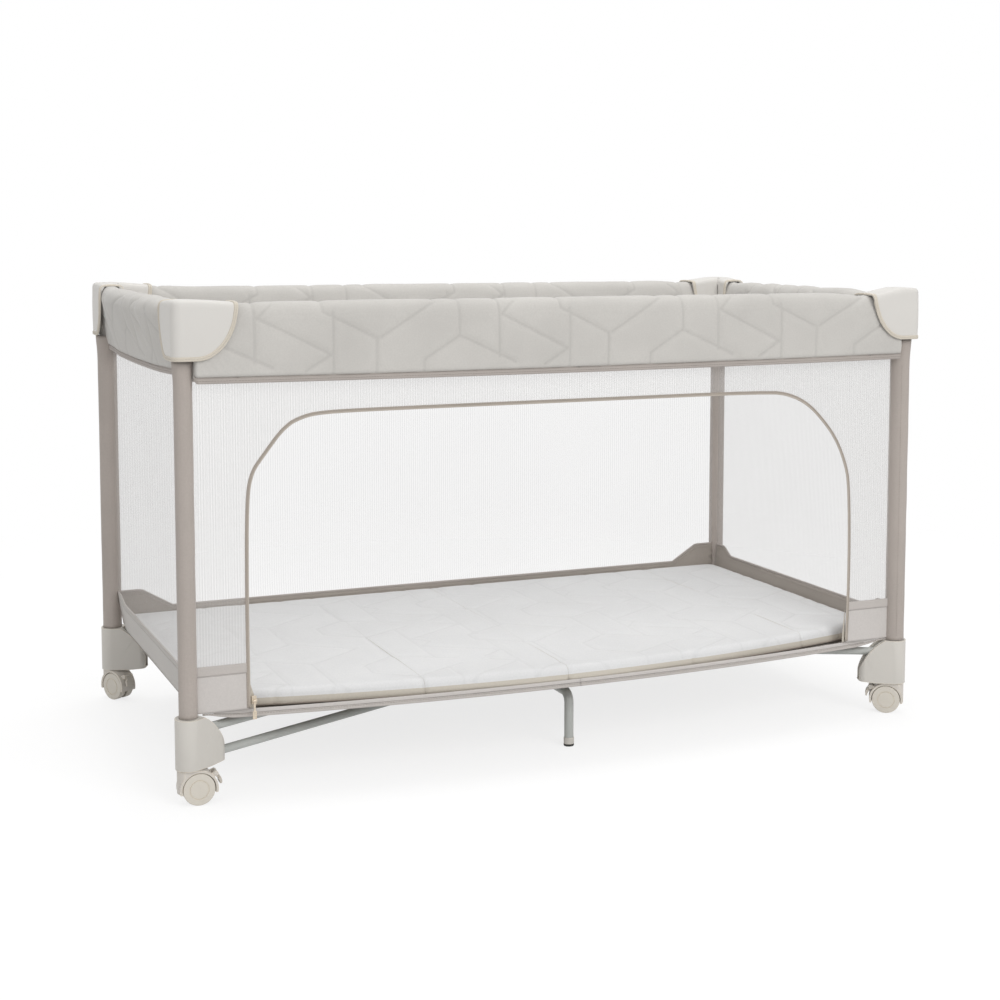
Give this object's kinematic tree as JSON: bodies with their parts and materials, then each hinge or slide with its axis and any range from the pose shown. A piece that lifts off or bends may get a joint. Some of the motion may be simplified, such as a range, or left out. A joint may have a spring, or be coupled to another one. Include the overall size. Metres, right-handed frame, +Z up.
{
  "type": "folding playpen travel cot",
  "caption": "Folding playpen travel cot: padded top rails that break in the middle, mesh walls with a zipped door, feet on braked casters and a folding mattress.",
  "frame": {"origin": "on the floor, under the middle of the cot", "axes": "+X along the length to the right, +Y across the width away from the door, +Z up"},
  "size_m": [1.272, 0.674, 0.73],
  "materials": {
    "post": "satin",
    "corner_bracket": "satin",
    "corner_cover": "satin",
    "foot": "satin",
    "caster": "satin",
    "wheels": "satin",
    "brake_lever": "satin",
    "arm": "satin",
    "rail": "satin",
    "button": "satin",
    "hub": "satin",
    "centre_leg": "satin",
    "side": "matte",
    "floor": "matte",
    "mattress": "matte",
    "zip": "satin"
  },
  "bodies": {
    "post_fl": {"post_fl": "post", "corner_bracket_fl": "corner_bracket", "corner_cover_fl": "corner_cover", "foot_fl": "foot", "side_front": "side"},
    "post_fr": {"post_fr": "post", "corner_bracket_fr": "corner_bracket", "corner_cover_fr": "corner_cover", "foot_fr": "foot", "side_right": "side"},
    "post_bl": {"post_bl": "post", "corner_bracket_bl": "corner_bracket", "corner_cover_bl": "corner_cover", "foot_bl": "foot", "side_left": "side"},
    "post_br": {"post_br": "post", "corner_bracket_br": "corner_bracket", "corner_cover_br": "corner_cover", "foot_br": "foot", "side_back": "side"},
    "arm_fl": {"arm_fl": "arm"},
    "arm_fr": {"arm_fr": "arm"},
    "arm_bl": {"arm_bl": "arm"},
    "arm_br": {"arm_br": "arm"},
    "hub": {"hub": "hub", "floor": "floor"},
    "lower_arm_fl": {"lower_arm_fl": "arm"},
    "lower_arm_br": {"lower_arm_br": "arm"},
    "rail_front_left": {"rail_front_left": "rail"},
    "rail_left_front": {"rail_left_front": "rail"},
    "rail_front_right": {"rail_front_right": "rail"},
    "rail_right_front": {"rail_right_front": "rail"},
    "rail_back_left": {"rail_back_left": "rail"},
    "rail_left_back": {"rail_left_back": "rail"},
    "rail_back_right": {"rail_back_right": "rail"},
    "rail_right_back": {"rail_right_back": "rail"},
    "button_front": {"button_front": "button"},
    "button_back": {"button_back": "button"},
    "button_left": {"button_left": "button"},
    "button_right": {"button_right": "button"},
    "centre_leg_front": {"centre_leg_front": "centre_leg"},
    "centre_leg_back": {"centre_leg_back": "centre_leg"},
    "caster_fl": {"caster_fl": "caster"},
    "wheels_fl": {"wheels_fl": "wheels"},
    "brake_lever_fl": {"brake_lever_fl": "brake_lever"},
    "caster_fr": {"caster_fr": "caster"},
    "wheels_fr": {"wheels_fr": "wheels"},
    "brake_lever_fr": {"brake_lever_fr": "brake_lever"},
    "caster_bl": {"caster_bl": "caster"},
    "wheels_bl": {"wheels_bl": "wheels"},
    "brake_lever_bl": {"brake_lever_bl": "brake_lever"},
    "caster_br": {"caster_br": "caster"},
    "wheels_br": {"wheels_br": "wheels"},
    "brake_lever_br": {"brake_lever_br": "brake_lever"},
    "mattress_1": {"mattress_1": "mattress"},
    "mattress_2": {"mattress_2": "mattress"},
    "mattress_3": {"mattress_3": "mattress"},
    "mattress_4": {"mattress_4": "mattress"},
    "zip_slider": {"zip_slider": "zip"},
    "zip_pull": {"zip_pull": "zip"}
  },
  "joints": [
    {"name": "fold", "type": "hinge", "parent": "post_fl", "child": "arm_fl", "pos_m": [-0.58463, -0.29315, 0.1055], "axis": [0.4233, -0.906, 0], "range_deg": [0, 84], "deforming": ["side_front", "side_right", "side_back", "side_left", "floor", "mattress_1", "mattress_2", "mattress_3", "mattress_4"]},
    {"name": "hub_pivot", "type": "hinge", "parent": "arm_fl", "child": "hub", "pos_m": [-0.04963, -0.04315, 0.1055], "axis": [0.4233, -0.906, 0], "range_deg": [-85, 1]},
    {"name": "arm_pivot_fr", "type": "hinge", "parent": "hub", "child": "arm_fr", "pos_m": [0.04963, -0.04315, 0.1055], "axis": [0.4233, 0.906, 0], "range_deg": [-1, 85]},
    {"name": "post_pivot_fr", "type": "hinge", "parent": "arm_fr", "child": "post_fr", "pos_m": [0.58463, -0.29315, 0.1055], "axis": [0.4233, 0.906, 0], "range_deg": [-85, 1]},
    {"name": "arm_pivot_bl", "type": "hinge", "parent": "hub", "child": "arm_bl", "pos_m": [-0.04963, 0.04315, 0.1055], "axis": [-0.4233, -0.906, 0], "range_deg": [-1, 85]},
    {"name": "post_pivot_bl", "type": "hinge", "parent": "arm_bl", "child": "post_bl", "pos_m": [-0.58463, 0.29315, 0.1055], "axis": [-0.4233, -0.906, 0], "range_deg": [-85, 1]},
    {"name": "arm_pivot_br", "type": "hinge", "parent": "hub", "child": "arm_br", "pos_m": [0.04963, 0.04315, 0.1055], "axis": [-0.4233, 0.906, 0], "range_deg": [-1, 85]},
    {"name": "post_pivot_br", "type": "hinge", "parent": "arm_br", "child": "post_br", "pos_m": [0.58463, 0.29315, 0.1055], "axis": [-0.4233, 0.906, 0], "range_deg": [-85, 1]},
    {"name": "lower_arm_pivot_fl", "type": "hinge", "parent": "post_fl", "child": "lower_arm_fl", "pos_m": [-0.56651, -0.28468, 0.0665], "axis": [0.4233, -0.906, 0], "range_deg": [-1, 85]},
    {"name": "lower_arm_pivot_br", "type": "hinge", "parent": "hub", "child": "lower_arm_br", "pos_m": [0.03151, 0.03468, 0.0665], "axis": [-0.4233, 0.906, 0], "range_deg": [-1, 85]},
    {"name": "rail_front_left_pivot", "type": "hinge", "parent": "post_fl", "child": "rail_front_left", "pos_m": [-0.535, -0.305, 0.704], "axis": [0, 1, 0], "range_deg": [-1, 85]},
    {"name": "rail_left_front_pivot", "type": "hinge", "parent": "post_fl", "child": "rail_left_front", "pos_m": [-0.61, -0.25, 0.704], "axis": [-1, 0, 0], "range_deg": [-1, 85]},
    {"name": "rail_front_right_pivot", "type": "hinge", "parent": "post_fr", "child": "rail_front_right", "pos_m": [0.535, -0.305, 0.704], "axis": [0, -1, 0], "range_deg": [-1, 85]},
    {"name": "rail_right_front_pivot", "type": "hinge", "parent": "post_fr", "child": "rail_right_front", "pos_m": [0.61, -0.25, 0.704], "axis": [-1, 0, 0], "range_deg": [-1, 85]},
    {"name": "rail_back_left_pivot", "type": "hinge", "parent": "post_bl", "child": "rail_back_left", "pos_m": [-0.535, 0.305, 0.704], "axis": [0, 1, 0], "range_deg": [-1, 85]},
    {"name": "rail_left_back_pivot", "type": "hinge", "parent": "post_bl", "child": "rail_left_back", "pos_m": [-0.61, 0.25, 0.704], "axis": [1, 0, 0], "range_deg": [-1, 85]},
    {"name": "rail_back_right_pivot", "type": "hinge", "parent": "post_br", "child": "rail_back_right", "pos_m": [0.535, 0.305, 0.704], "axis": [0, -1, 0], "range_deg": [-1, 85]},
    {"name": "rail_right_back_pivot", "type": "hinge", "parent": "post_br", "child": "rail_right_back", "pos_m": [0.61, 0.25, 0.704], "axis": [1, 0, 0], "range_deg": [-1, 85]},
    {"name": "button_front_press", "type": "slide", "parent": "rail_front_left", "child": "button_front", "axis": [0, 0, 1], "range_m": [0, 0.005], "stiffness_N_per_m": 150, "springref_m": -0.001},
    {"name": "button_back_press", "type": "slide", "parent": "rail_back_left", "child": "button_back", "axis": [0, 0, 1], "range_m": [0, 0.005], "stiffness_N_per_m": 150, "springref_m": -0.001},
    {"name": "button_left_press", "type": "slide", "parent": "rail_left_front", "child": "button_left", "axis": [0, 0, 1], "range_m": [0, 0.005], "stiffness_N_per_m": 150, "springref_m": -0.001},
    {"name": "button_right_press", "type": "slide", "parent": "rail_right_front", "child": "button_right", "axis": [0, 0, 1], "range_m": [0, 0.005], "stiffness_N_per_m": 150, "springref_m": -0.001},
    {"name": "centre_leg_front_pivot", "type": "hinge", "parent": "hub", "child": "centre_leg_front", "pos_m": [0.014, -0.055, 0.086], "axis": [1, 0, 0], "range_deg": [-1, 91]},
    {"name": "centre_leg_back_pivot", "type": "hinge", "parent": "hub", "child": "centre_leg_back", "pos_m": [-0.014, 0.055, 0.086], "axis": [-1, 0, 0], "range_deg": [-1, 91]},
    {"name": "swivel_fl", "type": "hinge", "parent": "post_fl", "child": "caster_fl", "pos_m": [-0.61, -0.305, 0.06], "axis": [0, 0, 1], "continuous": true},
    {"name": "roll_fl", "type": "hinge", "parent": "caster_fl", "child": "wheels_fl", "pos_m": [-0.598, -0.30521, 0.0235], "axis": [0.0175, 0.9998, 0], "continuous": true},
    {"name": "brake_fl", "type": "hinge", "parent": "caster_fl", "child": "brake_lever_fl", "pos_m": [-0.57251, -0.30565, 0.043], "axis": [0.0175, 0.9998, 0], "range_deg": [0, 8]},
    {"name": "swivel_fr", "type": "hinge", "parent": "post_fr", "child": "caster_fr", "pos_m": [0.61, -0.305, 0.06], "axis": [0, 0, 1], "continuous": true},
    {"name": "roll_fr", "type": "hinge", "parent": "caster_fr", "child": "wheels_fr", "pos_m": [0.60005, -0.29829, 0.0235], "axis": [-0.5592, -0.829, 0], "continuous": true},
    {"name": "brake_fr", "type": "hinge", "parent": "caster_fr", "child": "brake_lever_fr", "pos_m": [0.57891, -0.28403, 0.043], "axis": [-0.5592, -0.829, 0], "range_deg": [0, 8]},
    {"name": "swivel_bl", "type": "hinge", "parent": "post_bl", "child": "caster_bl", "pos_m": [-0.61, 0.305, 0.06], "axis": [0, 0, 1], "continuous": true},
    {"name": "roll_bl", "type": "hinge", "parent": "caster_bl", "child": "wheels_bl", "pos_m": [-0.604, 0.29461, 0.0235], "axis": [0.866, 0.5, 0], "continuous": true},
    {"name": "brake_bl", "type": "hinge", "parent": "caster_bl", "child": "brake_lever_bl", "pos_m": [-0.59125, 0.27252, 0.043], "axis": [0.866, 0.5, 0], "range_deg": [0, 8]},
    {"name": "swivel_br", "type": "hinge", "parent": "post_br", "child": "caster_br", "pos_m": [0.61, 0.305, 0.06], "axis": [0, 0, 1], "continuous": true},
    {"name": "roll_br", "type": "hinge", "parent": "caster_br", "child": "wheels_br", "pos_m": [0.59872, 0.3009, 0.0235], "axis": [0.342, -0.9397, 0], "continuous": true},
    {"name": "brake_br", "type": "hinge", "parent": "caster_br", "child": "brake_lever_br", "pos_m": [0.57476, 0.29217, 0.043], "axis": [0.342, -0.9397, 0], "range_deg": [0, 8]},
    {"name": "mattress_lift", "type": "hinge", "parent": "post_fl", "child": "mattress_1", "pos_m": [-0.25, -0.044, 0.444], "axis": [-1, 0, 0], "range_deg": [-1, 91]},
    {"name": "mattress_fold_2", "type": "hinge", "parent": "mattress_1", "child": "mattress_2", "pos_m": [-0.251, 0, 0.146], "axis": [0, -1, 0], "range_deg": [-1, 91]},
    {"name": "mattress_fold_3", "type": "hinge", "parent": "mattress_2", "child": "mattress_3", "pos_m": [-0.018, 0, 0.146], "axis": [0, -1, 0], "range_deg": [-1, 91]},
    {"name": "mattress_fold_4", "type": "hinge", "parent": "mattress_3", "child": "mattress_4", "pos_m": [0.434, 0, 0.146], "axis": [0, -1, 0], "range_deg": [-1, 91]},
    {"name": "zip_run", "type": "slide", "parent": "post_fl", "child": "zip_slider", "axis": [0, 0, -1], "range_m": [-0.26, 0]},
    {"name": "zip_pull_swing", "type": "hinge", "parent": "zip_slider", "child": "zip_pull", "pos_m": [-0.5135, -0.312, 0.143], "axis": [1, 0, 0], "range_deg": [-150, 0]}
  ],
  "couplings": [
    {"joint": "hub_pivot", "follows": "fold", "ratio": -1},
    {"joint": "arm_pivot_fr", "follows": "fold", "ratio": 1},
    {"joint": "post_pivot_fr", "follows": "fold", "ratio": -1},
    {"joint": "arm_pivot_bl", "follows": "fold", "ratio": 1},
    {"joint": "post_pivot_bl", "follows": "fold", "ratio": -1},
    {"joint": "arm_pivot_br", "follows": "fold", "ratio": 1},
    {"joint": "post_pivot_br", "follows": "fold", "ratio": -1},
    {"joint": "lower_arm_pivot_fl", "follows": "fold", "ratio": 1},
    {"joint": "lower_arm_pivot_br", "follows": "fold", "ratio": 1},
    {"joint": "rail_front_left_pivot", "follows": "fold", "ratio": 1},
    {"joint": "rail_left_front_pivot", "follows": "fold", "ratio": 1},
    {"joint": "rail_front_right_pivot", "follows": "fold", "ratio": 1},
    {"joint": "rail_right_front_pivot", "follows": "fold", "ratio": 1},
    {"joint": "rail_back_left_pivot", "follows": "fold", "ratio": 1},
    {"joint": "rail_left_back_pivot", "follows": "fold", "ratio": 1},
    {"joint": "rail_back_right_pivot", "follows": "fold", "ratio": 1},
    {"joint": "rail_right_back_pivot", "follows": "fold", "ratio": 1},
    {"joint": "centre_leg_front_pivot", "follows": "fold", "ratio": 1.0714},
    {"joint": "centre_leg_back_pivot", "follows": "fold", "ratio": 1.0714},
    {"joint": "mattress_lift", "follows": "fold", "ratio": 1.0714},
    {"joint": "mattress_fold_2", "follows": "fold", "ratio": 1.0714},
    {"joint": "mattress_fold_3", "follows": "fold", "ratio": 1.0714},
    {"joint": "mattress_fold_4", "follows": "fold", "ratio": 1.0714}
  ]
}
